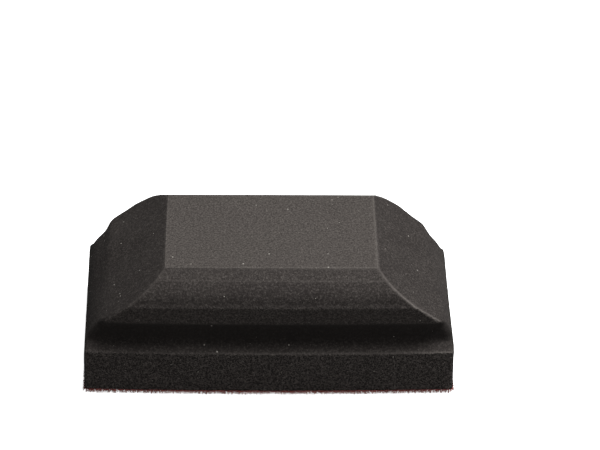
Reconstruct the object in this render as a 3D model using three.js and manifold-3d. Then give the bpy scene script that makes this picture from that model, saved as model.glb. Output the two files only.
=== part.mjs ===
// Hand sanding block, 70 x 125 mm format.
//
// A one-piece closed-cell foam body with a flat palm face, faceted shoulders, a finger groove along
// each long side and sloping ends, on a hook sole that holds the abrasive sheet.
// Millimetres. +X runs along the block, +Y across it, +Z up. The origin is on the floor, under the
// middle of the block, where the tips of the hooks stand.

import * as THREE from 'three';
import { mergeVertices } from 'three/addons/utils/BufferGeometryUtils.js';
import Module from 'manifold-3d';

// Footprint of the block, which is the format of the abrasive sheet.
const LENGTH = 125;
const WIDTH = 70;
const CORNER_RADIUS = 2;          // upright corners of the footprint

// Sole, from the floor up.
const HOOK_HEIGHT = 0.75;         // hooks, from their tips to the ground cloth
const CLOTH_THICKNESS = 0.4;      // woven ground that the hooks are rooted in
const BINDER_THICKNESS = 0.1;     // back coat that locks the hook roots
const ADHESIVE_THICKNESS = 0.15;  // film that bonds the tape to the foam
const HOOK_MARGIN = 0.4;          // cut edge of the cloth, clear of hooks

// Cross-section of the foam. Heights are counted one on top of the other, and insets are counted in
// from the long edge of the block.
const BASE_HEIGHT = 14.5;         // foam underside to the outer edge below the groove
const GROOVE_RISE = 2.6;          // that the groove floor climbs towards the groove wall
const GROOVE_MOUTH = 10.7;        // outer edge below the groove to the lip above it
const GROOVE_ROOF = 2.2;          // that the groove roof climbs from its wall to the lip
const GROOVE_ROUND = 1.6;         // along each side of the rounded corners inside the groove
const LIP_RISE = 6.7;             // lip to the widest line of the grip
const FLANK_RISE = 7.2;           // widest line to the shoulder
const SHOULDER_RISE = 2.5;        // shoulder to the palm face
const GROOVE_DEPTH = 3.6;         // inset of the groove's wall
const LIP_INSET = 1.8;
const GRIP_INSET = 0.2;           // at the widest line of the grip
const SHOULDER_INSET = 5.5;
const FACE_INSET = 10.3;          // at the edge of the palm face
const FLANK_CROWN = 0.8;          // that the flank stands proud of a flat one
const LIP_CROWN = 0.3;            // the same, between the lip and the widest line

// Ends, seen from the side.
const END_RUN = 27.3;             // from the end of the block to the end of the palm face
const END_SLOPE = THREE.MathUtils.degToRad(36.8);  // of the end slopes, from level
const END_RADIUS = 18;            // round between each slope and its upright end

const CURVE_STEPS = 10;

const wasm = await Module();
wasm.setup();

const foamBottom = HOOK_HEIGHT + CLOTH_THICKNESS + BINDER_THICKNESS + ADHESIVE_THICKNESS;
const baseEdge = foamBottom + BASE_HEIGHT;
const lip = baseEdge + GROOVE_MOUTH;
const widest = lip + LIP_RISE;
const shoulder = widest + FLANK_RISE;
const face = shoulder + SHOULDER_RISE;

function extrude(shape, depth) {
  return new THREE.ExtrudeGeometry(shape, { depth, bevelEnabled: false, curveSegments: CURVE_STEPS });
}

function toManifold(geometry) {
  const bare = geometry.clone();
  bare.deleteAttribute('normal');
  bare.deleteAttribute('uv');
  const merged = mergeVertices(bare);
  return new wasm.Manifold(new wasm.Mesh({
    numProp: 3,
    vertProperties: merged.attributes.position.array,
    triVerts: new Uint32Array(merged.index.array),
  }));
}

function toGeometry(manifold) {
  const mesh = manifold.getMesh();
  const geometry = new THREE.BufferGeometry();
  geometry.setAttribute('position', new THREE.BufferAttribute(mesh.vertProperties, 3));
  geometry.setIndex(new THREE.BufferAttribute(mesh.triVerts, 1));
  geometry.computeVertexNormals();
  return geometry;
}

// The control point of a curve between two points that stands proud of its chord by crown, on the
// right-hand side of the way from the first point to the second.
function crownPoint(from, to, crown) {
  const along = to.clone().sub(from).normalize();
  const outward = new THREE.Vector2(along.y, -along.x);
  return from.clone().add(to).multiplyScalar(0.5).addScaledVector(outward, 2 * crown);
}

// The footprint is a rectangle with rounded corners, drawn in X and Y.
function footprint(length, width, radius) {
  const x = length / 2;
  const y = width / 2;
  const r = Math.min(radius, x, y);
  const shape = new THREE.Shape();
  shape.moveTo(-x + r, -y);
  shape.lineTo(x - r, -y);
  shape.absarc(x - r, -y + r, r, -Math.PI / 2, 0);
  shape.lineTo(x, y - r);
  shape.absarc(x - r, y - r, r, 0, Math.PI / 2);
  shape.lineTo(-x + r, y);
  shape.absarc(-x + r, y - r, r, Math.PI / 2, Math.PI);
  shape.lineTo(-x, -y + r);
  shape.absarc(-x + r, -y + r, r, Math.PI, Math.PI * 1.5);
  return shape;
}

// The right-hand half of the cross-section, from the foam's underside up to the palm face.
function halfSection() {
  const floorY = WIDTH / 2;
  const wallY = floorY - GROOVE_DEPTH;
  const lipPoint = new THREE.Vector2(floorY - LIP_INSET, lip);
  const widestPoint = new THREE.Vector2(floorY - GRIP_INSET, widest);
  const shoulderPoint = new THREE.Vector2(floorY - SHOULDER_INSET, shoulder);
  const floorInner = new THREE.Vector2(wallY, baseEdge + GROOVE_RISE);
  const roofInner = new THREE.Vector2(wallY, lip - GROOVE_ROOF);
  const floorOuter = new THREE.Vector2(floorY, baseEdge);
  const floorStart = floorInner.clone().add(
    floorOuter.clone().sub(floorInner).setLength(GROOVE_ROUND));
  const roofEnd = roofInner.clone().add(lipPoint.clone().sub(roofInner).setLength(GROOVE_ROUND));
  const path = new THREE.Path();
  path.moveTo(floorY, foamBottom);
  path.lineTo(floorOuter.x, floorOuter.y);
  path.lineTo(floorStart.x, floorStart.y);
  path.quadraticCurveTo(floorInner.x, floorInner.y, wallY, floorInner.y + GROOVE_ROUND);
  path.lineTo(wallY, roofInner.y - GROOVE_ROUND);
  path.quadraticCurveTo(roofInner.x, roofInner.y, roofEnd.x, roofEnd.y);
  path.lineTo(lipPoint.x, lipPoint.y);
  const lipControl = crownPoint(lipPoint, widestPoint, LIP_CROWN);
  path.quadraticCurveTo(lipControl.x, lipControl.y, widestPoint.x, widestPoint.y);
  const flankControl = crownPoint(widestPoint, shoulderPoint, FLANK_CROWN);
  path.quadraticCurveTo(flankControl.x, flankControl.y, shoulderPoint.x, shoulderPoint.y);
  path.lineTo(floorY - FACE_INSET, face);
  return path.getPoints(CURVE_STEPS);
}

// The whole cross-section, extruded along the block.
function sectionBar() {
  const right = halfSection();
  const left = right.map((p) => new THREE.Vector2(-p.x, p.y)).reverse();
  const bar = extrude(new THREE.Shape([...right, ...left]), LENGTH);
  bar.translate(0, 0, -LENGTH / 2);
  bar.rotateX(Math.PI / 2);
  bar.rotateZ(Math.PI / 2);
  return bar;
}

// The block seen from the side: upright ends that turn into the end slopes, and the palm face.
// Drawn in X and Z, and extruded across the block.
function sideBar() {
  const endX = LENGTH / 2;
  const faceX = endX - END_RUN;
  const meetZ = face - END_RUN * Math.tan(END_SLOPE);
  const turn = Math.PI / 2 - END_SLOPE;
  const tangent = END_RADIUS * Math.tan(turn / 2);
  const centreX = endX - END_RADIUS;
  const centreZ = meetZ - tangent;
  const shape = new THREE.Shape();
  shape.moveTo(-endX, foamBottom);
  shape.lineTo(endX, foamBottom);
  shape.lineTo(endX, centreZ);
  shape.absarc(centreX, centreZ, END_RADIUS, 0, turn);
  shape.lineTo(faceX, face);
  shape.lineTo(-faceX, face);
  shape.absarc(-centreX, centreZ, END_RADIUS, Math.PI - turn, Math.PI);
  const bar = extrude(shape, WIDTH);
  bar.rotateX(Math.PI / 2);
  bar.translate(0, WIDTH / 2, 0);
  return bar;
}

// The rounded footprint as a column, as tall as the foam.
function footprintBar() {
  const column = extrude(footprint(LENGTH, WIDTH, CORNER_RADIUS), face - foamBottom);
  column.translate(0, 0, foamBottom);
  return column;
}

function foamBody() {
  const solid = toManifold(sectionBar())
    .intersect(toManifold(sideBar()))
    .intersect(toManifold(footprintBar()));
  return toGeometry(solid);
}

// A layer of the sole, cut to the footprint less a margin all round.
function soleLayer(bottom, thickness, margin) {
  const outline = footprint(LENGTH - 2 * margin, WIDTH - 2 * margin, CORNER_RADIUS - margin);
  const layer = extrude(outline, thickness);
  layer.translate(0, 0, bottom);
  return layer;
}

const foam = new THREE.MeshStandardMaterial({ color: 0x3c3835, roughness: 0.95, metalness: 0 });
const adhesive = new THREE.MeshStandardMaterial({ color: 0xb98f86, roughness: 0.6, metalness: 0 });
const binder = new THREE.MeshStandardMaterial({ color: 0x5a1614, roughness: 0.8, metalness: 0 });
const cloth = new THREE.MeshStandardMaterial({ color: 0x7a201f, roughness: 0.9, metalness: 0 });
const hooks = new THREE.MeshStandardMaterial({ color: 0xb43c38, roughness: 0.7, metalness: 0 });

const block = new THREE.Group();

function addPiece(name, geometry, material) {
  const mesh = new THREE.Mesh(geometry, material);
  mesh.name = name;
  block.add(mesh);
}

const clothBottom = HOOK_HEIGHT;
const binderBottom = clothBottom + CLOTH_THICKNESS;
const adhesiveBottom = binderBottom + BINDER_THICKNESS;

addPiece('foam_body', foamBody(), foam);
addPiece('adhesive_film', soleLayer(adhesiveBottom, ADHESIVE_THICKNESS, 0), adhesive);
addPiece('binder_coat', soleLayer(binderBottom, BINDER_THICKNESS, 0), binder);
addPiece('ground_cloth', soleLayer(clothBottom, CLOTH_THICKNESS, 0), cloth);
addPiece('hook_pile', soleLayer(0, HOOK_HEIGHT, HOOK_MARGIN), hooks);

export default block;
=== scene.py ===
# Hand sanding block: a milled foam body on a hook sole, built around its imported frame.

import bpy
import numpy as np
from mathutils import Matrix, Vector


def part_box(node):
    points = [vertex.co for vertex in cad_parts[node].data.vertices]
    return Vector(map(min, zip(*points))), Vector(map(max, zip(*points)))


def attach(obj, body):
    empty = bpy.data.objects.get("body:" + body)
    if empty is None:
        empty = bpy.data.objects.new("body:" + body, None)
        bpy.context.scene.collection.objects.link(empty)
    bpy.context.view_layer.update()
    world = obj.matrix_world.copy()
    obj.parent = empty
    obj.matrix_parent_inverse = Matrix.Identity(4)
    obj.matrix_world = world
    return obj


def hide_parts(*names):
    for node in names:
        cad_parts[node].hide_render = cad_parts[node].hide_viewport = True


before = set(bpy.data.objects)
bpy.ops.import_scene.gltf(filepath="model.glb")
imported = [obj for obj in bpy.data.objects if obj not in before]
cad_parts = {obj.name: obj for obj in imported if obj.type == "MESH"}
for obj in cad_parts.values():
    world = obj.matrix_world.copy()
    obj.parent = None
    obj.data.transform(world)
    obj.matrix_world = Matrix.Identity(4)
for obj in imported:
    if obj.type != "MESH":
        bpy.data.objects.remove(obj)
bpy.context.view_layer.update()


# ---------------------------------------------------------------------------------------------
# Camera. A long lens looks down on the front long side, a little round from the square view. It
# aims up and to the right of the block, which stands in the lower left of the view.
# ---------------------------------------------------------------------------------------------

view_height = np.radians(30.0)      # above the floor
view_turn = np.radians(1.33)        # round the block
view_roll = np.radians(0.81)
view_distance = 1.4315
aim_right = 0.0112                  # of the middle of the sole, across the view
aim_up = 0.0392                     # and up it
sensor_width = 36                   # in millimetres, as the lens is
lens = 247.9


def spin(angle):
    """The rotation by angle round the third axis."""
    return np.array([[np.cos(angle), -np.sin(angle), 0],
                     [np.sin(angle), np.cos(angle), 0],
                     [0, 0, 1]])


def pose(x_axis, y_axis, z_axis, place):
    """The matrix that puts an object at place, with its own axes along the given ones."""
    rows = np.stack([x_axis, y_axis, z_axis, place], 1).tolist()
    return Matrix([*rows, (0, 0, 0, 1)])


tilt = np.array([[1, 0, 0],
                 [0, -np.sin(view_height), -np.cos(view_height)],
                 [0, np.cos(view_height), -np.sin(view_height)]])
right, down, forward = spin(view_roll) @ tilt @ spin(view_turn)
eye = aim_right * right - aim_up * down - view_distance * forward
camera = bpy.data.objects.new("camera", bpy.data.cameras.new("camera"))
camera.data.sensor_width = sensor_width
camera.data.lens = lens
camera.matrix_world = pose(right, -down, -forward, eye)
bpy.context.scene.collection.objects.link(camera)
bpy.context.scene.camera = camera


# ---------------------------------------------------------------------------------------------
# Foam body. One piece of dense closed-cell foam, milled along its length to the cross-section and
# then cut across at both ends. The hand holds it by the grooves, and its edges rub pale. Painted
# highlight lightens the edges, painted sheen the palm face, and painted shade darkens the grooves.
# ---------------------------------------------------------------------------------------------

mm = 0.001
foam_low, foam_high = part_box("foam_body")
half_length = foam_high.x
half_width = foam_high.y
foam_bottom = foam_low.z
foam_top = foam_high.z
base_edge = 15.9 * mm
lip = 26.6 * mm
widest = 33.3 * mm
shoulder = 40.5 * mm
face_half_length = 35.2 * mm
end_slope = np.radians(36.8)
end_radius = 18 * mm
face_edge_radius = 0.6 * mm         # round between the palm face and the end slopes
side_swell = 1.3 * mm               # that the long sides stand out in their middle
back_swell = 0.6                    # of the back side, as a share of the front side's
top_swell = 0.15                    # at the palm face, as a share of that at the lip
back_trim = 0.7 * mm                # that the back flank is cut further in than the front one
face_offset = 1.4 * mm              # that the palm face reaches further to the right
end_skew = 0.045                    # of the right-hand end slope, from square
left_trim = 2.5 * mm                # that the left-hand end is cut shorter behind
left_front_share = 0.35             # of that in front
right_trim = 1.0 * mm               # that the right-hand end is cut shorter behind
trim_height = 25.5 * mm             # where an end is cut shortest
trim_spread = 6 * mm                # above and below it
proud_corner = 0.9 * mm             # that both ends stand out behind, at the foot of the grip facet
proud_height = 27.5 * mm
proud_spread = 2.0 * mm
left_top_trim = 0.9 * mm            # that the left-hand slope is cut deeper behind, above that
groove_climb = 1.5 * mm             # of the back groove, at the left-hand end
corner_cells = 4                    # of the mesh, across each rounded corner

# Half of the cross-section, from the underside up: how far out from the middle a corner is, its
# height, and its round.
section = mm * np.array([
    (half_width / mm, foam_bottom / mm, 0),
    (half_width / mm, base_edge / mm, 0.7),
    (31.4, 18.5, 2.2),              # floor of the groove, from here
    (31.4, 24.4, 2.0),              # to here
    (33.2, lip / mm, 0.7),          # from the groove to the grip facet
    (34.8, widest / mm, 1.6),       # from the grip facet to the flank
    (33.4, 37.8, 8.0),              # crown of the flank
    (29.5, shoulder / mm, 0.45),    # from the flank to the shoulder facet
    (24.7, foam_top / mm, 0.7),     # edge of the palm face
    (24.0, foam_top / mm, 0),       # only there to end the round before it
])


def rounded_path(corners, step):
    """Points along straight lines with a round at each corner. A round touches both of its lines
    at radius * tan(turn / 2) from the corner. No stretch between two points is longer than step."""
    place = corners[:, :2]
    way = np.diff(place, axis=0)
    way /= np.linalg.norm(way, axis=1)[:, None]
    points = [place[:1]]
    for k in range(len(way) - 1):
        (x0, y0), (x1, y1) = way[k:k + 2]
        bend = np.arctan2(x0 * y1 - y0 * x1, x0 * x1 + y0 * y1)
        radius = corners[k + 1, 2]
        start = place[k + 1] - radius * np.tan(abs(bend) / 2) * way[k]
        inward = np.sign(bend) * np.array([-way[k, 1], way[k, 0]])
        angle = np.linspace(0, bend, 7)[:, None]
        spoke = -radius * inward
        swung = spoke * np.cos(angle) + np.array([-spoke[1], spoke[0]]) * np.sin(angle)
        points.append(start + radius * inward + swung)
    points = np.concatenate(points + [place[-1:]])
    length = np.linalg.norm(np.diff(points, axis=0), axis=1)
    points = points[np.append(length > 1e-7, True)]
    length = length[length > 1e-7]
    cuts = np.ceil(length / step).astype(int)
    share = np.concatenate([k + np.arange(n) / n for k, n in enumerate(cuts)] + [[len(cuts)]])
    return np.stack([np.interp(share, np.arange(len(points)), points[:, k]) for k in (0, 1)], 1)


def end_reach(z):
    """Half of the block's length at height z: upright at first, then round, then straight up the
    slope, and round again by a hair where the slope meets the palm face."""
    meet = foam_top - (half_length - face_half_length) * np.tan(end_slope)
    bend = np.pi / 2 - end_slope
    centre = meet - end_radius * np.tan(bend / 2)
    on_round = half_length - end_radius + np.sqrt(np.maximum(end_radius**2 - (z - centre)**2, 0))
    on_slope = half_length - (z - meet) / np.tan(end_slope)
    inside = face_half_length - face_edge_radius * np.tan(end_slope / 2)
    over_edge = z - foam_top + face_edge_radius
    on_edge = inside + np.sqrt(np.maximum(face_edge_radius**2 - over_edge**2, 0))
    edge_start = foam_top - face_edge_radius * (1 - np.cos(end_slope))
    return np.select(
        [z < centre, z < centre + end_radius * np.sin(bend), z < edge_start],
        [np.full_like(z, half_length), on_round, on_slope], on_edge)


def side_places(half, radius, cells):
    """Places along a side from -half to half, for each ring: a few across the round at either end
    and the rest at even steps between the rounds."""
    near = np.linspace(0, 1, corner_cells, endpoint=False)
    half, radius = half[:, None], radius[:, None]
    return np.concatenate([
        -half + radius * near,
        (half - radius) * np.linspace(-1, 1, cells + 1),
        half - radius * near[::-1]], axis=1)


def round_corners(x, y, a, b, radius):
    """Turns the square corners of a rectangle 2a by 2b into rounds. Inside the square that a round
    takes up, a point keeps its direction from the round's middle and moves to the distance that
    the square line through it has from there."""
    over_x = np.maximum(abs(x) - (a - radius), 0)
    over_y = np.maximum(abs(y) - (b - radius), 0)
    share = np.maximum(over_x, over_y) / np.maximum(np.hypot(over_x, over_y), 1e-12)
    both = (over_x > 0) & (over_y > 0)
    share = np.where(both, share, 1)
    return np.sign(x) * (abs(x) - over_x * (1 - share)), np.sign(y) * (abs(y) - over_y * (1 - share))


def stack(a, b, radius, z, cells_x, cells_y):
    """A closed body of rounded rectangles, one above the other, with a grid of faces over the first
    and the last. Gives its points and four-sided faces, and how far in from the rectangle's end
    and side each point is."""
    along = side_places(a, radius, cells_x)
    across = side_places(b, radius, cells_y)
    a, b, radius = a[:, None], b[:, None], radius[:, None]
    flat_x, flat_y = 0 * across[:, :-1], 0 * along[:, :-1]
    x = np.concatenate([along[:, :-1], a + flat_x, along[:, :0:-1], -a + flat_x], 1)
    y = np.concatenate([-b + flat_y, across[:, :-1], b + flat_y, across[:, :0:-1]], 1)
    rings = len(x)
    index = np.arange(x.size).reshape(x.shape)
    beyond = np.roll(index, -1, axis=1)
    faces = [np.stack([index[:-1], beyond[:-1], beyond[1:], index[1:]], -1).reshape(-1, 4)]
    levels = [np.stack([*round_corners(x, y, a, b, radius), z[:, None] + 0 * x,
                        a - abs(x), b - abs(y)], -1).reshape(-1, 5)]
    count = x.size
    last_x, last_y = along.shape[1] - 1, across.shape[1] - 1
    for ring, way in ((0, -1), (rings - 1, 1)):
        inner_x, inner_y = np.meshgrid(along[ring, 1:-1], across[ring, 1:-1])
        cap = np.empty((last_y + 1, last_x + 1), int)
        walk = np.append(index[ring], index[ring, 0])
        cap[0] = walk[:last_x + 1]
        cap[:, -1] = walk[last_x:last_x + last_y + 1]
        cap[-1, ::-1] = walk[last_x + last_y:2 * last_x + last_y + 1]
        cap[::-1, 0] = walk[2 * last_x + last_y:]
        cap[1:-1, 1:-1] = count + np.arange(inner_x.size).reshape(inner_x.shape)
        count += inner_x.size
        inner = round_corners(inner_x, inner_y, a[ring], b[ring], radius[ring])
        levels.append(np.stack([*inner, z[ring] + 0 * inner_x,
                                a[ring] - abs(inner_x), b[ring] - abs(inner_y)], -1).reshape(-1, 5))
        faces.append(np.stack([cap[:-1, :-1], cap[:-1, 1:], cap[1:, 1:], cap[1:, :-1]], -1)
                     .reshape(-1, 4)[:, ::way])
    levels = np.concatenate(levels)
    return levels[:, :3], np.concatenate(faces), levels[:, 3], levels[:, 4]


def bell(distance, spread):
    """1 where distance is 0, and less on both sides of it, by exp(-(distance / spread)^2)."""
    return np.exp(-(distance / spread)**2)


def as_cut(points):
    """Moves points of the true shape to where the cut block has them. The long sides swell by a
    parabola along the block, less and less above the lip, and above the lip the back one is cut
    further in. The palm face reaches a little further to the right. Below it the right-hand end
    slope is skewed, so that it reaches further at the front than at the back. Both ends are cut
    shorter by a bell curve over their height, more at the back, where they also stand out by a
    narrower one. Above that the left-hand slope is cut deeper at the back. The back groove climbs
    a little towards the left-hand end."""
    x, y, z = points.T
    at_back = y >= 0
    swell = side_swell * (1 - (x / half_length)**2) * np.interp(z, [lip, foam_top], [1, top_swell])
    swell = swell * np.where(at_back, back_swell, 1)
    flank_heights = [lip, widest, 38 * mm, foam_top]
    swell = swell - back_trim * at_back * np.interp(z, flank_heights, [0, 1, 1, 0.4])
    to_right = np.interp(x, [0, 30 * mm], [0, 1])
    near_top = np.interp(z, [39.5 * mm, foam_top], [0, 1])
    skew = end_skew * np.interp(z, [14 * mm, 26 * mm], [0, 1])
    moved = to_right * (face_offset * near_top - skew * y * (1 - near_top))
    back_share = np.clip(0.5 + 0.5 * y / half_width, 0, 1)
    left_share = left_front_share + (1 - left_front_share) * back_share**2
    shorter = np.where(x < 0, left_trim * left_share, right_trim * back_share**2)
    shorter *= bell(z - trim_height, trim_spread)
    shorter -= proud_corner * back_share**3 * bell(z - proud_height, proud_spread)
    shorter += left_top_trim * back_share**2 * np.interp(z, [29 * mm, 33 * mm], [0, 1]) * (x < 0)
    near_end = np.interp(abs(x), [0, 40 * mm], [0, 1])**2
    climb = groove_climb * np.interp(-x, [0, half_length], [0, 1])
    climb *= np.interp(y, [0, half_width / 3], [0, 1])
    climb *= np.interp(z, [11 * mm, 16 * mm, 27 * mm, 36 * mm], [0, 1, 1, 0])
    cut_x = x + moved - np.sign(x) * shorter * near_end
    return np.stack([cut_x, y * (1 + swell / half_width), z + climb], 1)


def ripple(points, wavelength, waves, seed):
    """Smooth random relief, about -1 to 1: a sum of sine waves in random directions, all of nearly
    the same length."""
    draw = np.random.default_rng(seed)
    way = draw.normal(size=(waves, 3))
    own_length = wavelength * draw.uniform(0.7, 1.4, (waves, 1))
    way *= 2 * np.pi / (own_length * np.linalg.norm(way, axis=1)[:, None])
    phase = draw.uniform(0, 2 * np.pi, waves)
    return np.sin(points @ way.T + phase).sum(1) / np.sqrt(waves)


def new_piece(name, points, faces, material):
    """A smooth mesh with its points where they are, and its object at the origin."""
    mesh = bpy.data.meshes.new(name)
    mesh.vertices.add(len(points))
    mesh.vertices.foreach_set("co", points.astype(np.float32).ravel())
    mesh.loops.add(faces.size)
    mesh.loops.foreach_set("vertex_index", faces.astype(np.int32).ravel())
    mesh.polygons.add(len(faces))
    corners = faces.shape[1]
    mesh.polygons.foreach_set("loop_start", np.arange(0, faces.size, corners, dtype=np.int32))
    mesh.polygons.foreach_set("use_smooth", np.ones(len(faces), bool))
    mesh.update(calc_edges=True)
    mesh.materials.append(material)
    piece = bpy.data.objects.new(name, mesh)
    bpy.context.scene.collection.objects.link(piece)
    return piece


def add_mask(piece, name, values):
    """One number from 0 to 1 at each vertex, for the material to read by name."""
    mask = piece.data.attributes.new(name, "FLOAT", "POINT")
    mask.data.foreach_set("value", values.astype(np.float32))


def new_group(name, inputs, outputs):
    """An empty shader group with number inputs and their values, and the kinds of its outputs."""
    group = bpy.data.node_groups.new(name, "ShaderNodeTree")
    for label, value in inputs.items():
        socket = group.interface.new_socket(label, in_out="INPUT", socket_type="NodeSocketFloat")
        socket.default_value = value
    for label, kind in outputs.items():
        group.interface.new_socket(label, in_out="OUTPUT", socket_type="NodeSocket" + kind)
    return group, group.nodes.new("NodeGroupInput"), group.nodes.new("NodeGroupOutput")


def add_node(tree, kind, settings=None, **inputs):
    """A node of that kind. settings are its own properties, and inputs are sockets by name with
    _ for a space: a value to set, or a socket to link from."""
    node = tree.nodes.new("ShaderNode" + kind)
    for label, value in (settings or {}).items():
        setattr(node, label, value)
    for label, value in inputs.items():
        key = int(label[1:]) if label[0] == "_" else label.replace("_", " ")
        if isinstance(value, bpy.types.NodeSocket):
            tree.links.new(value, node.inputs[key])
        else:
            node.inputs[key].default_value = value
    return node


# Fine cells of the foam: pits a few tenths of a millimetre across, cut open by the knife.
cells_group, given, gives = new_group(
    "foam_cells", {"Cell Size": 0.3, "Streak": 0.0},
    {"Pits": "Float", "Grain": "Float", "Height": "Float"})
place = add_node(cells_group, "TexCoord").outputs["Object"]
per_metre = add_node(cells_group, "Math", {"operation": "DIVIDE"},
                     _0=1000.0, _1=given.outputs["Cell Size"])
pits = add_node(cells_group, "TexVoronoi", {"feature": "SMOOTH_F1"},
                Vector=place, Scale=per_metre.outputs[0], Smoothness=0.6)
grain = add_node(cells_group, "TexNoise",
                 Vector=place, Scale=per_metre.outputs[0], Detail=3.0, Roughness=0.7)
along_block = add_node(cells_group, "Mapping", Vector=place, Scale=(60.0, 900.0, 1500.0))
streak = add_node(cells_group, "TexNoise", Vector=along_block.outputs[0], Scale=1.0, Detail=2.0)
open_pits = add_node(cells_group, "MapRange",
                     Value=pits.outputs["Distance"], From_Min=0.15, From_Max=0.75)
streaks = add_node(cells_group, "Math", {"operation": "MULTIPLY"},
                   _0=streak.outputs["Fac"], _1=given.outputs["Streak"])
height = add_node(cells_group, "Math", {"operation": "ADD"},
                  _0=open_pits.outputs[0], _1=grain.outputs["Fac"])
height = add_node(cells_group, "Math", {"operation": "ADD"},
                  _0=height.outputs[0], _1=streaks.outputs[0])
cells_group.links.new(open_pits.outputs[0], gives.inputs["Pits"])
cells_group.links.new(grain.outputs["Fac"], gives.inputs["Grain"])
cells_group.links.new(height.outputs[0], gives.inputs["Height"])

# Pale specks: dust and torn cell walls, in a few of the cells of a coarse random grid.
specks_group, given, gives = new_group(
    "pale_specks", {"Spacing": 2.0, "Size": 0.06, "Share": 0.5}, {"Mask": "Float"})
place = add_node(specks_group, "TexCoord").outputs["Object"]
per_metre = add_node(specks_group, "Math", {"operation": "DIVIDE"},
                     _0=1000.0, _1=given.outputs["Spacing"])
dots = add_node(specks_group, "TexVoronoi", Vector=place, Scale=per_metre.outputs[0])
draw_lot = add_node(specks_group, "SeparateColor", Color=dots.outputs["Color"])
own_size = add_node(specks_group, "Math", {"operation": "MULTIPLY"},
                    _0=draw_lot.outputs[1], _1=given.outputs["Size"])
near = add_node(specks_group, "Math", {"operation": "LESS_THAN"},
                _0=dots.outputs["Distance"], _1=own_size.outputs[0])
chosen = add_node(specks_group, "Math", {"operation": "LESS_THAN"},
                  _0=draw_lot.outputs[0], _1=given.outputs["Share"])
mask = add_node(specks_group, "Math", {"operation": "MULTIPLY"},
                _0=near.outputs[0], _1=chosen.outputs[0])
specks_group.links.new(mask.outputs[0], gives.inputs["Mask"])


def use_group(tree, group, **inputs):
    """The group placed in a material, with its own values there."""
    node = tree.nodes.new("ShaderNodeGroup")
    node.node_tree = group
    for label, value in inputs.items():
        node.inputs[label.replace("_", " ")].default_value = value
    return node.outputs


def blend_colour(tree, share, first, second):
    """first where share is 0 and second where it is 1. Each is a colour or a socket."""
    mix = add_node(tree, "Mix", {"data_type": "RGBA"})
    for key, value in ((0, share), (6, first), (7, second)):
        if isinstance(value, bpy.types.NodeSocket):
            tree.links.new(value, mix.inputs[key])
        else:
            mix.inputs[key].default_value = value if key == 0 else (*value, 1)
    return mix.outputs[2]


def new_material(name, roughness, specular):
    """A material with one Principled shader. Gives the material, its tree and the shader."""
    material = bpy.data.materials.new(name)
    material.use_nodes = True
    shader = material.node_tree.nodes["Principled BSDF"]
    shader.inputs["Roughness"].default_value = roughness
    shader.inputs["Specular IOR Level"].default_value = specular
    return material, material.node_tree, shader


foam_material, tree, shader = new_material("milled_foam", roughness=0.95, specular=0.15)
milled_colour = (0.038, 0.0322, 0.0300)
# The palm face's colour is its own paler skin together with painted sheen.
palm_skin_and_sheen_colour = (0.094, 0.083, 0.0755)
sawn_colour = (0.108, 0.094, 0.087)
# The pit colour also serves as painted shade in the grooves and under the palm face's edge.
pit_and_shade_colour = (0.014, 0.012, 0.011)
# The pale colour serves for wear and also as painted edge highlight.
pale_wear_and_highlight_colour = (0.15, 0.135, 0.124)
speck_colour = (0.34, 0.32, 0.29)
cells = use_group(tree, cells_group, Cell_Size=0.34, Streak=0.9)
coarse_cells = use_group(tree, cells_group, Cell_Size=0.55, Streak=0.0)
palm = add_node(tree, "Attribute", {"attribute_name": "palm"}).outputs["Fac"]
sawn = add_node(tree, "Attribute", {"attribute_name": "sawn"}).outputs["Fac"]
wear_highlight_mask = add_node(tree, "Attribute", {"attribute_name": "wear_highlight_mask"}).outputs["Fac"]
# Paler palm face, and some of it on the shoulder facets: partly its own skin, partly painted sheen.
body_colour = blend_colour(tree, palm, milled_colour, palm_skin_and_sheen_colour)
body_colour = blend_colour(tree, sawn, body_colour, sawn_colour)
patches = add_node(tree, "TexNoise", Vector=add_node(tree, "TexCoord").outputs["Object"],
                   Scale=55.0, Detail=4.0, Roughness=0.6)
patch_share = add_node(tree, "MapRange", Value=patches.outputs["Fac"],
                       From_Min=0.3, From_Max=0.7, To_Min=0.0, To_Max=0.16)
body_colour = blend_colour(tree, patch_share.outputs[0], body_colour, pale_wear_and_highlight_colour)
mottle = add_node(tree, "TexNoise", Vector=add_node(tree, "TexCoord").outputs["Object"],
                  Scale=1300.0, Detail=2.0, Roughness=0.75)
dark_share = add_node(tree, "MapRange", Value=mottle.outputs["Fac"],
                      From_Min=0.36, From_Max=0.55, To_Min=0.55, To_Max=0.0)
body_colour = blend_colour(tree, dark_share.outputs[0], body_colour, pit_and_shade_colour)
pale_share = add_node(tree, "MapRange", Value=mottle.outputs["Fac"],
                      From_Min=0.5, From_Max=0.68, To_Min=0.0, To_Max=0.38)
body_colour = blend_colour(tree, pale_share.outputs[0], body_colour, pale_wear_and_highlight_colour)
fine_pits = add_node(tree, "MapRange", Value=cells["Pits"],
                     From_Min=0.35, From_Max=1.0, To_Min=0.55, To_Max=0.0)
body_colour = blend_colour(tree, fine_pits.outputs[0], body_colour, pit_and_shade_colour)
coarse_pits = add_node(tree, "MapRange", Value=coarse_cells["Pits"],
                       From_Min=0.2, From_Max=0.7, To_Min=0.95, To_Max=0.0)
coarse_pits = add_node(tree, "Math", {"operation": "MULTIPLY"}, _0=coarse_pits.outputs[0], _1=sawn)
body_colour = blend_colour(tree, coarse_pits.outputs[0], body_colour, pit_and_shade_colour)
# Painted shade in the grooves and under the edge of the palm face.
painted_shade = add_node(tree, "Attribute", {"attribute_name": "painted_shade"}).outputs["Fac"]
body_colour = blend_colour(tree, painted_shade, body_colour, pit_and_shade_colour)
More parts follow.
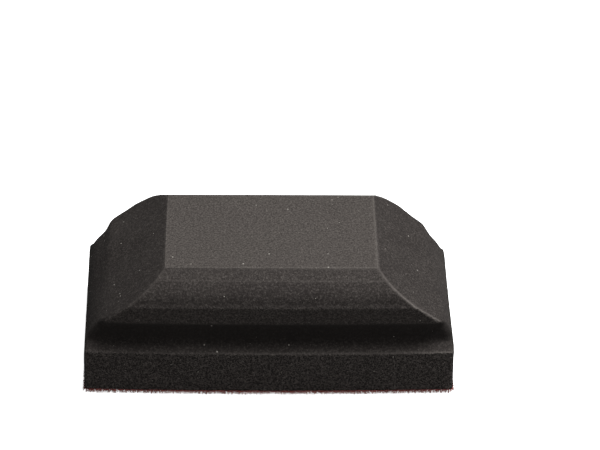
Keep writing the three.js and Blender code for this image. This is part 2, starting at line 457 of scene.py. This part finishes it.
# Pale lines along the edges: partly wear, partly painted edge highlight.
wear_highlight_share = add_node(tree, "MapRange", Value=cells["Grain"], From_Min=0.35, From_Max=0.65,
                      To_Min=0.35, To_Max=1.0)
wear_highlight_share = add_node(tree, "Math", {"operation": "MULTIPLY"}, _0=wear_highlight_share.outputs[0], _1=wear_highlight_mask)
body_colour = blend_colour(tree, wear_highlight_share.outputs[0], body_colour, pale_wear_and_highlight_colour)
specks = use_group(tree, specks_group, Spacing=2.2, Size=0.14, Share=0.2)
body_colour = blend_colour(tree, specks["Mask"], body_colour, speck_colour)
tree.links.new(body_colour, shader.inputs["Base Color"])
relief = add_node(tree, "Bump", Strength=0.33, Distance=0.0002, Height=cells["Height"])
sawn_height = add_node(tree, "Math", {"operation": "MULTIPLY"}, _0=coarse_cells["Height"], _1=sawn)
relief = add_node(tree, "Bump", Strength=0.85, Distance=0.0005, Height=sawn_height.outputs[0],
                  Normal=relief.outputs[0])
tree.links.new(relief.outputs[0], shader.inputs["Normal"])

half_section = rounded_path(section, 0.55 * mm)[:-1]
out, up = half_section.T
hip_heights = [15.0, 18.5, lip / mm, 30.0, 34.0, 42.0]
hip_rounds = [1.6, 2.4, 3.0, 1.6, 0.9, 0.5]         # of the upright edges, at those heights
corner_radius = np.interp(up / mm, hip_heights, hip_rounds) * mm
points, faces, from_end, from_side = stack(
    end_reach(up), out, corner_radius, up, cells_x=160, cells_y=88)

# Where each surface of the foam is, from the heights of the edges, all in millimetres.
height_mm = points[:, 2] / mm
base_mm, lip_mm, widest_mm = base_edge / mm, lip / mm, widest / mm
shoulder_mm, top_mm = shoulder / mm, foam_top / mm
long_side = from_side < 1e-9
on_side = np.minimum(from_end, from_side) < 1e-9
on_palm = height_mm > top_mm - 0.03
above_shoulder = long_side * (height_mm > shoulder_mm)
# The palm face, and the shoulder facets at 0.3, take the palm colour, which is partly painted sheen.
palm_and_sheen_share = np.maximum(on_palm, 0.3 * above_shoulder)

# The saw left a coarse face on the sides of the base, and a less coarse one on the grip facets.
sawing = long_side * np.interp(height_mm, [base_mm - 0.3, base_mm + 0.3], [1, 0])
grip_facet = [lip_mm, lip_mm + 0.6, widest_mm - 0.3, widest_mm + 1.2]
sawing += 0.6 * long_side * np.interp(height_mm, grip_facet, [0, 1, 1, 0])

# Pale lines on the hips, the edge of the palm face and the edges along the sides, most at the
# right: partly wear, partly painted edge highlight, strongest towards the key light.
to_hip = np.maximum(from_end, from_side) / mm
to_face_edge = np.hypot(top_mm - height_mm, np.minimum(from_end, from_side) / mm)
hip_wear_and_highlight = on_side * (height_mm > lip_mm) * bell(to_hip, 0.8)
hip_wear_and_highlight *= np.interp(height_mm, [lip_mm, widest_mm, top_mm], [1, 1, 0.45])
face_edge_wear_and_highlight = 0.4 * bell(to_face_edge, 0.4)
side_edge_wear_and_highlight = long_side * (0.35 * bell(height_mm - base_mm, 0.35)
                         + 0.12 * bell(height_mm - widest_mm, 0.4)
                         + 0.15 * bell(height_mm - shoulder_mm, 0.25))
# Stronger towards the key light on the right: painted highlight.
more_toward_key_light = np.interp(points[:, 0] / half_length, [-0.5, -0.2, 0.5], [0.3, 0.6, 1])
wear_and_highlight = np.clip(np.maximum(hip_wear_and_highlight, np.maximum(face_edge_wear_and_highlight, side_edge_wear_and_highlight)) * more_toward_key_light, 0, 1)

# Painted shade under the edge of the palm face and in the grooves, which run out at the hips.
under_face_shade = bell(top_mm - 0.25 - height_mm, 0.35) * (height_mm < top_mm - 0.05)
groove_heights = [base_mm + 0.5, 20.6, lip_mm - 0.8, lip_mm]
groove_shade_share = np.interp(height_mm, groove_heights, [0, 0.8, 0.8, 0])
painted_shade_share = np.maximum(0.4 * under_face_shade * long_side, groove_shade_share * bell(from_side, 2.5 * mm))

lumps = 0.02 * ripple(points, 3 * mm, 60, 1)
lumps += 0.035 * ripple(points, 1.6 * mm, 60, 2) * (0.4 + sawing)
outward = points * [0.5, 1, 0] / np.hypot(points[:, 0] * 0.5, points[:, 1]).clip(1e-6)[:, None]
points = as_cut(points) + (lumps * on_side * mm)[:, None] * outward
foam_body = new_piece("foam_block", points, faces, foam_material)
add_mask(foam_body, "palm", palm_and_sheen_share)
add_mask(foam_body, "sawn", sawing)
add_mask(foam_body, "wear_highlight_mask", wear_and_highlight)
add_mask(foam_body, "painted_shade", painted_shade_share)
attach(foam_body, "root")
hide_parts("foam_body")


# ---------------------------------------------------------------------------------------------
# Adhesive film and back coat. A film of pressure-sensitive adhesive holds the hook tape to the
# foam, and the tape's own back coat locks its hooks. Only their cut edges show, as thin lines.
# ---------------------------------------------------------------------------------------------

sole_corner = 2 * mm


def add_relief(tree, shader, strength, distance, height):
    """Fine bumps in a shader's surface, from a socket that gives their height."""
    relief = add_node(tree, "Bump", Strength=strength, Distance=distance, Height=height)
    tree.links.new(relief.outputs[0], shader.inputs["Normal"])


def sole_layer(name, node, edge_wave, material):
    """A thin layer of the sole, cut to the footprint with an edge that wanders by edge_wave."""
    low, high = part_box(node)
    z = np.array([low.z, (low.z + high.z) / 2, high.z])
    layer_points, layer_faces, in_end, in_side = stack(
        np.full(3, high.x), np.full(3, high.y), np.full(3, sole_corner), z,
        cells_x=250, cells_y=140)
    centre = np.hypot(layer_points[:, 0], layer_points[:, 1])[:, None].clip(1e-6)
    on_edge = np.minimum(in_end, in_side) < 1e-9
    wander = edge_wave * ripple(layer_points, 2.5 * mm, 40, 5) * on_edge
    layer_points = as_cut(layer_points) + wander[:, None] * layer_points * [1, 1, 0] / centre
    return new_piece(name, layer_points, layer_faces, material)


adhesive_material, tree, shader = new_material("adhesive_film", roughness=0.5, specular=0.4)
film_dark, film_pale = (0.24, 0.05, 0.045), (0.42, 0.15, 0.13)
streaks = use_group(tree, cells_group, Cell_Size=0.8, Streak=0.5)
film_colour = blend_colour(tree, streaks["Grain"], film_dark, film_pale)
tree.links.new(film_colour, shader.inputs["Base Color"])
add_relief(tree, shader, 0.3, 0.1 * mm, streaks["Height"])
adhesive = sole_layer("adhesive_layer", "adhesive_film", 0.06 * mm, adhesive_material)
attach(adhesive, "root")
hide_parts("adhesive_film")

binder_material, tree, shader = new_material("tape_back_coat", roughness=0.8, specular=0.1)
coat_dark, coat_pale = (0.09, 0.004, 0.004), (0.20, 0.010, 0.010)
crumbs = use_group(tree, cells_group, Cell_Size=0.5, Streak=0.2)
coat_colour = blend_colour(tree, crumbs["Grain"], coat_dark, coat_pale)
tree.links.new(coat_colour, shader.inputs["Base Color"])
add_relief(tree, shader, 0.5, 0.1 * mm, crumbs["Height"])
binder = sole_layer("back_coat_layer", "binder_coat", 0.10 * mm, binder_material)
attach(binder, "root")
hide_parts("binder_coat")


# ---------------------------------------------------------------------------------------------
# Ground cloth. The hook tape's ground is a plain weave of red polyamide yarns: the warp runs
# across the block and the weft along it. It was cut with the block, so its edges fray a little.
# ---------------------------------------------------------------------------------------------

cloth_low, cloth_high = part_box("ground_cloth")
cloth_middle = (cloth_low.z + cloth_high.z) / 2
warp_count = 101
weft_count = 60
warp_pitch = 2 * half_length / warp_count
weft_pitch = 2 * half_width / weft_count
crimp = 0.09 * mm                   # that a yarn leaves the middle of the cloth, each way
yarn_thickness = 0.20 * mm
yarn_half_width = 0.34              # as a share of the pitch
yarn_swell = 0.04                   # that it is wider where it shows, as a share of the pitch
yarn_variation = 0.08               # of the width, from yarn to yarn
end_scatter = 0.12 * mm             # of the cut ends
step_drift = 0.0125 * mm            # of a yarn sideways, from step to step
most_drift = 0.12 * mm              # of a yarn from its lane
steps_per_crossing = 2
yarn_sides = 6


def strands(path, side, wide, thick, sides):
    """Closed strands with an even number of sides. path holds the points of each strand, and side
    is the level direction of a strand's width. Each point's section is an ellipse of half axes
    wide, along side, and thick, square to side and to the path."""
    ahead = np.gradient(path, axis=1)
    ahead /= np.linalg.norm(ahead, axis=2)[..., None]
    side = np.broadcast_to(side, path.shape)
    square = np.cross(side, ahead)
    angle = np.arange(sides) * 2 * np.pi / sides
    around = (wide[..., None, None] * side[:, :, None] * np.cos(angle)[:, None]
              + thick[..., None, None] * square[:, :, None] * np.sin(angle)[:, None])
    ring_points = path[:, :, None] + around
    index = np.arange(ring_points[..., 0].size).reshape(ring_points.shape[:3])
    beyond = np.roll(index, -1, axis=2)
    walls = np.stack([index[:, :-1], index[:, 1:], beyond[:, 1:], beyond[:, :-1]], -1).reshape(-1, 4)
    cap = np.array([[0, k, k + 1, k + 2] for k in range(1, sides - 1, 2)])
    first = index[:, 0][:, cap].reshape(-1, 4)
    last = index[:, -1][:, cap[:, ::-1]].reshape(-1, 4)
    return ring_points.reshape(-1, 3), np.concatenate([walls, first, last])


def yarns(count, pitch, crossings, reach_out, widest_lane, lengthwise, seed):
    """Yarns side by side, each a cosine wave that goes over one crossing yarn and under the next.
    Neighbours are half a wave apart. A yarn swells where it shows, its ends run a little long or
    short, and the outermost ones stop at the cloth's round corners. Gives points, faces,
    how near each point is to a cut end, and how far down on its wave it is."""
    draw = np.random.default_rng(seed)
    lane = (np.arange(count) - (count - 1) / 2) * pitch
    steps = crossings * steps_per_crossing
    place = np.linspace(-1, 1, steps + 1)
    phase = (np.arange(steps + 1) / steps_per_crossing - 0.5)[None] + np.arange(count)[:, None]
    wave = np.cos(np.pi * phase) * (1 if lengthwise else -1)
    past_corner = np.maximum(abs(lane) - (widest_lane - sole_corner), 0)
    corner_loss = sole_corner - np.sqrt(sole_corner**2 - past_corner**2)
    ends = reach_out - corner_loss[:, None] + draw.normal(0, end_scatter, (count, 2))
    run = np.where(place < 0, ends[:, :1], ends[:, 1:]) * place
    drift = np.cumsum(draw.normal(0, step_drift, (count, steps + 1)), axis=1)
    drift -= np.linspace(drift[:, 0], drift[:, -1], steps + 1, axis=1)
    sideways = lane[:, None] + np.clip(drift, -most_drift, most_drift)
    rise = cloth_middle + crimp * wave
    path = np.stack([run, sideways, rise] if lengthwise else [sideways, run, rise], -1)
    own_width = draw.uniform(1 - yarn_variation, 1 + yarn_variation, (count, 1))
    wide = (yarn_half_width - yarn_swell * wave) * pitch * own_width
    thick = np.full_like(wide, yarn_thickness / 2)
    side = [0, 1, 0] if lengthwise else [1, 0, 0]
    strand_points, strand_faces = strands(path, side, wide, thick, yarn_sides)
    near_cut = np.exp(-np.maximum(reach_out - abs(run), 0) / (0.5 * mm))
    on_crest = 0.5 - 0.5 * wave
    return (strand_points, strand_faces,
            np.repeat(near_cut.ravel(), yarn_sides), np.repeat(on_crest.ravel(), yarn_sides))


cloth_material, tree, shader = new_material("red_ground_yarn", roughness=0.75, specular=0.2)
shader.inputs["Sheen Weight"].default_value = 0.08
yarn_dark, yarn_pale = (0.24, 0.008, 0.008), (0.50, 0.034, 0.031)
# Painted shade for where a yarn dips away into the cloth between crossings.
dip_shade_colour = (0.085, 0.0015, 0.0015)
cut_end_colour = (0.42, 0.13, 0.11)
place = add_node(tree, "TexCoord").outputs["Object"]
filaments = add_node(tree, "TexNoise", Vector=place, Scale=9000.0, Detail=2.0)
shades = add_node(tree, "TexNoise", Vector=place, Scale=350.0, Detail=3.0)
yarn_colour = blend_colour(tree, shades.outputs["Fac"], yarn_dark, yarn_pale)
# Painted shade: each yarn darkens towards where it dips into the cloth.
crest_shade = add_node(tree, "Attribute", {"attribute_name": "crest_shade"}).outputs["Fac"]
yarn_colour = blend_colour(tree, crest_shade, dip_shade_colour, yarn_colour)
cut_end = add_node(tree, "Attribute", {"attribute_name": "cut_end"}).outputs["Fac"]
yarn_colour = blend_colour(tree, cut_end, yarn_colour, cut_end_colour)
tree.links.new(yarn_colour, shader.inputs["Base Color"])
add_relief(tree, shader, 0.5, 0.1 * mm, filaments.outputs["Fac"])

for name, count, pitch, crossings, reach_out, widest_lane, lengthwise, seed in (
        ("ground_warp", warp_count, warp_pitch, weft_count, half_width, half_length, False, 11),
        ("ground_weft", weft_count, weft_pitch, warp_count, half_length, half_width, True, 12)):
    points, faces, near_cut, on_crest = yarns(
        count, pitch, crossings, reach_out, widest_lane, lengthwise, seed)
    piece = new_piece(name, as_cut(points), faces, cloth_material)
    add_mask(piece, "cut_end", near_cut)
    add_mask(piece, "crest_shade", on_crest)
    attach(piece, "root")
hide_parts("ground_cloth")


# ---------------------------------------------------------------------------------------------
# Hooks. Stiff polyamide monofilament, woven into the ground as loops and slit on one side, so that
# each is a hook. They stand on every second crossing and grip the loops of an abrasive sheet.
# ---------------------------------------------------------------------------------------------

pile_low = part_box("hook_pile")[0]
hook_radius = 0.075 * mm
hook_bow = 0.22 * mm                # radius of the bent tip
hook_jitter = 0.06 * mm             # of a hook from its crossing
hook_twist = 0.2                    # of a hook from its row, in radians
level_range = 0.12 * mm             # that a hook may be lower than the highest

columns, rows = np.meshgrid(np.arange(warp_count), np.arange(weft_count), indexing="ij")
standing = (columns + rows) % 2 == 0
draw = np.random.default_rng(21)
count = standing.sum()
root_x = (columns[standing] - (warp_count - 1) / 2) * warp_pitch
root_x += draw.normal(0, hook_jitter, count)
root_y = (rows[standing] - (weft_count - 1) / 2) * weft_pitch
root_y += draw.normal(0, hook_jitter, count)
facing = np.pi * (rows[standing] % 2) + draw.normal(0, hook_twist, count)
bow_angle = np.linspace(0, 1.25 * np.pi, 6)
bend_height = pile_low.z + hook_radius + hook_bow
outwards = np.concatenate([[0, 0], hook_bow * (1 - np.cos(bow_angle[1:]))])
heights = np.concatenate([
    [cloth_middle, bend_height], bend_height - hook_bow * np.sin(bow_angle[1:])])
level = draw.uniform(0.0, level_range, (count, 1))
path = np.stack([
    root_x[:, None] + outwards * np.cos(facing)[:, None],
    root_y[:, None] + outwards * np.sin(facing)[:, None],
    heights + level * (heights < bend_height + 1e-9)], -1)
bend_side = np.stack([-np.sin(facing), np.cos(facing), 0 * facing], -1)[:, None]
slim = np.full(path.shape[:2], hook_radius)
points, faces = strands(path, bend_side, slim, slim, sides=4)

hook_material, tree, shader = new_material("red_hook_filament", roughness=0.45, specular=0.3)
hook_dark, hook_pale = (0.22, 0.007, 0.007), (0.42, 0.030, 0.028)
place = add_node(tree, "TexCoord").outputs["Object"]
shades = add_node(tree, "TexNoise", Vector=place, Scale=500.0, Detail=2.0)
hook_colour = blend_colour(tree, shades.outputs["Fac"], hook_dark, hook_pale)
tree.links.new(hook_colour, shader.inputs["Base Color"])
add_relief(tree, shader, 0.2, 0.05 * mm, shades.outputs["Fac"])
hooks = new_piece("hooks", as_cut(points), faces, hook_material)
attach(hooks, "root")
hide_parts("hook_pile")


# ---------------------------------------------------------------------------------------------
# Frayed edge. The knife leaves the yarns' cut filaments standing out all round the sole. They are
# short, bent downwards, and look pinkish because the broken ends scatter the light.
# ---------------------------------------------------------------------------------------------

fibre_count = 9000
fibre_radius = 0.06 * mm
fibre_root = 0.2 * mm               # inside the edge of the sole
fibre_splay = 0.35                  # along the edge, for each unit outwards
shortest_fibre = 0.25 * mm          # before its place in a tuft counts
longest_fibre = 0.95 * mm
least_drop, most_drop = 0.5, 1.8    # downwards, for each unit outwards
long_spread = 0.99                  # of the fibres along a long side, as a share of it
short_spread = 0.98
draw = np.random.default_rng(31)
round_sole = draw.uniform(0, 4 * (half_length + half_width), fibre_count)
on_long = round_sole < 4 * half_length
long_place = round_sole % (2 * half_length) - half_length
short_place = (round_sole - 4 * half_length) % (2 * half_width) - half_width
sign = np.where(draw.random(fibre_count) < 0.5, -1, 1)
edge_x = np.where(on_long, long_place * long_spread, sign * (half_length - fibre_root))
edge_y = np.where(on_long, sign * (half_width - fibre_root), short_place * short_spread)
out_x = np.where(on_long, draw.normal(0, fibre_splay, fibre_count), sign)
out_y = np.where(on_long, sign, draw.normal(0, fibre_splay, fibre_count))
yarn_pitch = np.where(on_long, warp_pitch, weft_pitch)
tuft = 0.75 + 0.25 * np.sin(2 * np.pi * round_sole / yarn_pitch)
fibre_length = draw.uniform(shortest_fibre, longest_fibre, fibre_count) * tuft
start_z = draw.uniform(cloth_low.z - 0.1 * mm, cloth_high.z, fibre_count)
share = np.linspace(0, 1, 3)
drop = draw.uniform(least_drop, most_drop, fibre_count) * fibre_length
path = np.stack([
    edge_x[:, None] + (out_x * fibre_length)[:, None] * share,
    edge_y[:, None] + (out_y * fibre_length)[:, None] * share,
    np.maximum(start_z[:, None] - drop[:, None] * share**2, fibre_radius)], -1)
across = np.stack([-out_y, out_x, 0 * out_x], -1)
across = (across / np.linalg.norm(across, axis=1)[:, None])[:, None]
taper = np.broadcast_to(fibre_radius * (1 - 0.5 * share), path.shape[:2])
points, faces = strands(path, across, taper, taper, sides=4)

fray_material, tree, shader = new_material("cut_filament_ends", roughness=0.7, specular=0.4)
fray_dark, fray_pale = (0.18, 0.037, 0.032), (0.48, 0.21, 0.18)
place = add_node(tree, "TexCoord").outputs["Object"]
shades = add_node(tree, "TexNoise", Vector=place, Scale=900.0, Detail=2.0)
fray_colour = blend_colour(tree, shades.outputs["Fac"], fray_dark, fray_pale)
tree.links.new(fray_colour, shader.inputs["Base Color"])
fray = new_piece("frayed_edge", as_cut(points), faces, fray_material)
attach(fray, "root")


# ---------------------------------------------------------------------------------------------
# Floor and light: a pale floor, one broad soft light from above on the right, and a dim fill.
# ---------------------------------------------------------------------------------------------

floor_material = bpy.data.materials.new("pale_floor")
floor_material.use_nodes = True
tree = floor_material.node_tree
tree.nodes.clear()
seen = add_node(tree, "LightPath").outputs["Is Camera Ray"]
bounce = add_node(tree, "BsdfDiffuse", Color=(0.30, 0.30, 0.30, 1))
paper = add_node(tree, "BsdfDiffuse", Color=(0.85, 0.85, 0.85, 1))
glow = add_node(tree, "Emission", Color=(1, 1, 1, 1), Strength=0.95)
bright = tree.nodes.new("ShaderNodeAddShader")
tree.links.new(paper.outputs[0], bright.inputs[0])
tree.links.new(glow.outputs[0], bright.inputs[1])
surface = tree.nodes.new("ShaderNodeMixShader")
tree.links.new(seen, surface.inputs[0])
tree.links.new(bounce.outputs[0], surface.inputs[1])
tree.links.new(bright.outputs[0], surface.inputs[2])
from_below = add_node(tree, "NewGeometry").outputs["Backfacing"]
one_way = tree.nodes.new("ShaderNodeMixShader")
tree.links.new(from_below, one_way.inputs[0])
tree.links.new(surface.outputs[0], one_way.inputs[1])
tree.links.new(add_node(tree, "BsdfTransparent").outputs[0], one_way.inputs[2])
tree.links.new(one_way.outputs[0], tree.nodes.new("ShaderNodeOutputMaterial").inputs["Surface"])
floor_size = 4.0
corners = np.array([(-1, -1, 0), (1, -1, 0), (1, 1, 0), (-1, 1, 0)]) * floor_size
floor = new_piece("floor", corners, np.array([[0, 1, 2, 3]]), floor_material)

lamp_distance = 1.1
for name, away, size, power in (
        ("key", (0.40, 0.05, 0.90), 0.6, 18.8),
        ("fill", (-0.3, -1.0, 0.5), 1.0, 1.5)):
    light = bpy.data.lights.new(name, "AREA")
    light.size = size
    light.energy = power
    lamp = bpy.data.objects.new(name, light)
    away = np.array(away) / np.linalg.norm(away)
    level = np.cross([0, 1, 0], away)
    level /= np.linalg.norm(level)
    upright = np.cross(away, level)
    lamp.matrix_world = pose(level, upright, away, away * lamp_distance)
    bpy.context.scene.collection.objects.link(lamp)

world = bpy.data.worlds.new("studio")
world.use_nodes = True
tree = world.node_tree
seen = add_node(tree, "LightPath").outputs["Is Camera Ray"]
tree.links.new(blend_colour(tree, seen, (0.085, 0.085, 0.085), (1, 1, 1)),
               tree.nodes["Background"].inputs["Color"])
bpy.context.scene.world = world
bpy.context.scene.view_settings.view_transform = "Standard"
